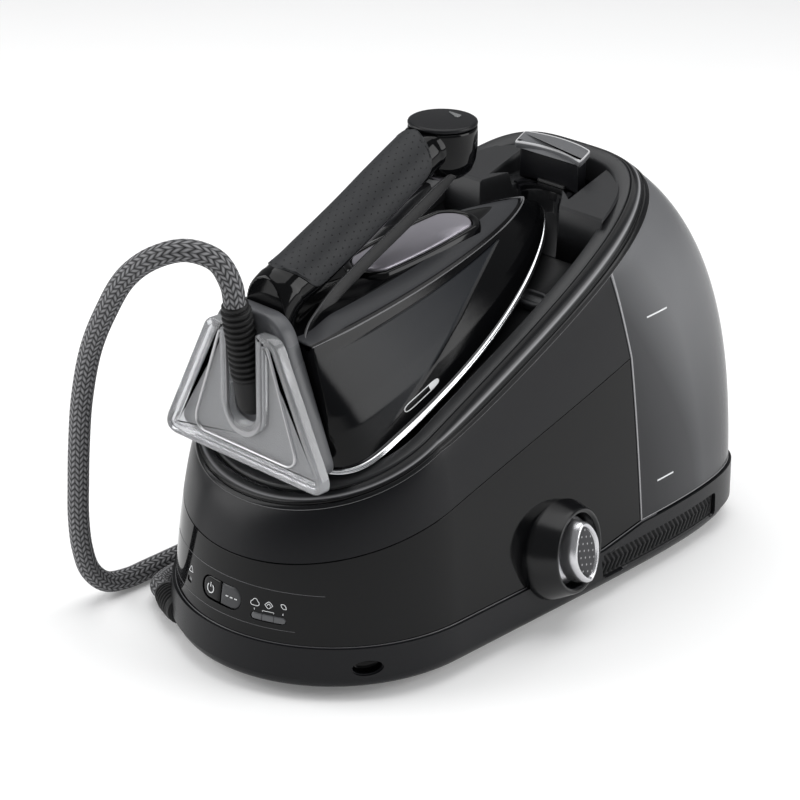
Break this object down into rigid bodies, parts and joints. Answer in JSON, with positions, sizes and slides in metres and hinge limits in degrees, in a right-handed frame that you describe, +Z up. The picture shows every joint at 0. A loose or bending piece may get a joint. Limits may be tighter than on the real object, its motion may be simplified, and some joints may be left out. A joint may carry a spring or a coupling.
{
  "type": "steam generator iron",
  "caption": "Steam station with sloping rest, removable water tank, drain knob and buttons; its iron sits locked in the rest and joins it by a coiled steam hose.",
  "frame": {"origin": "middle of the footprint of base and iron, without the hose, on the surface the feet stand on", "axes": "+Z up, -Y the front with the buttons and the heel of the iron, +X the side with the drain knob"},
  "size_m": [0.3716, 0.4142, 0.2884],
  "materials": {
    "gloss_black": "high gloss black plastic",
    "satin_black": "satin black-grey plastic",
    "matte_black": "fine matt black plastic",
    "satin_grey": "satin grey plastic",
    "soft_grip": "dotted soft-touch grip",
    "rubber": "black rubber",
    "smoke_clear": "smoke-tinted transparent plastic",
    "tinted_clear": "lightly tinted transparent plastic",
    "silver": "satin silver coat",
    "sole_steel": "polished steel soleplate",
    "boiler_steel": "drawn steel",
    "cast_alloy": "cast alloy",
    "brass": "turned brass",
    "board": "circuit board",
    "hose_braid": "herringbone textile braid over a rubber hose"
  },
  "bodies": {
    "root": {"bottom_shell": "satin_black", "lower_band": "gloss_black", "upper_cover": "satin_black", "rim_trim": "satin_grey", "iron_tray": "matte_black", "rest_pad_left": "rubber", "rest_pad_right": "rubber", "lock_housing": "matte_black", "tank_bay": "matte_black", "dock_seal": "rubber", "boiler_lower": "boiler_steel", "boiler_upper": "boiler_steel", "boiler_heater": "boiler_steel", "boiler_thermostat": "matte_black", "steam_solenoid": "brass", "water_pump": "matte_black", "drain_pipe": "brass", "drain_seal": "rubber", "main_board": "board", "light_bar": "satin_grey", "ready_lens": "satin_grey", "knob_collar": "gloss_black", "vent_right": "satin_black", "vent_left": "satin_black", "foot_front_left": "rubber", "foot_front_right": "rubber", "foot_rear_left": "rubber", "foot_rear_right": "rubber", "hose_gland": "rubber", "mains_inlet": "rubber", "hose_table_run": "hose_braid", "hose_coil": "hose_braid", "hose_base_end": "hose_braid"},
    "iron": {"soleplate": "sole_steel", "steam_chamber": "cast_alloy", "iron_skirt": "gloss_black", "iron_deck": "gloss_black", "deck_plate": "silver", "handle_core": "gloss_black", "handle_grip": "soft_grip", "handle_head": "gloss_black", "head_cap": "gloss_black", "head_light": "satin_grey", "trigger_switch": "matte_black", "heel_plate": "tinted_clear", "heel_frame": "satin_grey", "hose_boot": "rubber", "iron_steam_tube": "rubber", "hose_iron_end": "hose_braid"},
    "steam_trigger": {"steam_trigger": "satin_grey"},
    "lock": {"lock_lever": "satin_grey", "lock_claw": "satin_black"},
    "tank": {"water_tank": "smoke_clear", "tank_outlet": "matte_black"},
    "tank_lid": {"tank_lid": "smoke_clear"},
    "power_button": {"power_button": "gloss_black"},
    "mode_button": {"mode_button": "satin_grey"},
    "drain": {"drain_knob": "silver", "knob_inlay": "satin_grey", "drain_plug": "brass"}
  },
  "joints": [
    {"name": "iron_lift", "type": "slide", "parent": "root", "child": "iron", "axis": [0, 0, 1], "range_m": [0, 0.08]},
    {"name": "steam_trigger_press", "type": "hinge", "parent": "iron", "child": "steam_trigger", "pos_m": [-0.01016, -0.06989, 0.24199], "axis": [1, 0, 0], "range_deg": [0, 5], "stiffness_Nm_per_rad": 0.6},
    {"name": "lock_slide", "type": "slide", "parent": "root", "child": "lock", "axis": [0, 1, 0], "range_m": [-0.008, 0]},
    {"name": "tank_pull", "type": "slide", "parent": "root", "child": "tank", "axis": [0, 1, 0], "range_m": [0, 0.12]},
    {"name": "tank_lid_hinge", "type": "hinge", "parent": "tank", "child": "tank_lid", "pos_m": [-0.01016, 0.12408, 0.2296], "axis": [1, 0, 0], "range_deg": [0, 75]},
    {"name": "power_press", "type": "slide", "parent": "root", "child": "power_button", "axis": [0, 1, 0], "range_m": [0, 0.0012], "stiffness_N_per_m": 400},
    {"name": "mode_press", "type": "slide", "parent": "root", "child": "mode_button", "axis": [0, 1, 0], "range_m": [0, 0.0012], "stiffness_N_per_m": 400},
    {"name": "drain_turn", "type": "hinge", "parent": "root", "child": "drain", "pos_m": [0.08484, -0.00902, 0.049], "axis": [0.9754, 0.1781, 0.1301], "range_deg": [0, 90]}
  ]
}
